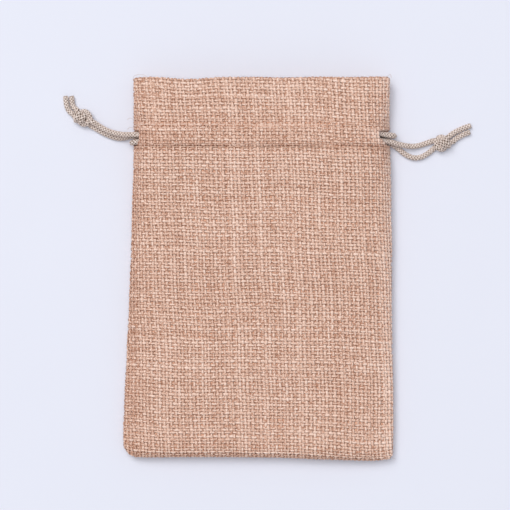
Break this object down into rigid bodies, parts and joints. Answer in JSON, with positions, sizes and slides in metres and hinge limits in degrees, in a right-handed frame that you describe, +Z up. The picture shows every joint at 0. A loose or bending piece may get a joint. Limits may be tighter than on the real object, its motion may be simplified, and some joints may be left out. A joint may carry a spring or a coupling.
{
  "type": "burlap sack",
  "caption": "Small burlap-look drawcord pouch lying flat, with a stitched cord channel below its open mouth and a knotted drawcord on each side.",
  "frame": {"origin": "centre of the pouch's box at the surface that it lies on", "axes": "+X across the pouch, +Y from its bottom fold towards its mouth, +Z up from the surface"},
  "size_m": [0.1487, 0.14, 0.014],
  "materials": {
    "burlap": "coarse plain weave, matte",
    "braided_cord": "fine braid, satin"
  },
  "bodies": {
    "root": {"bag": "burlap", "drawcord_left": "braided_cord", "drawcord_right": "braided_cord", "knot_left": "braided_cord", "knot_right": "braided_cord", "tail_left_a": "braided_cord", "tail_left_b": "braided_cord", "tail_right_a": "braided_cord", "tail_right_b": "braided_cord"}
  },
  "joints": []
}
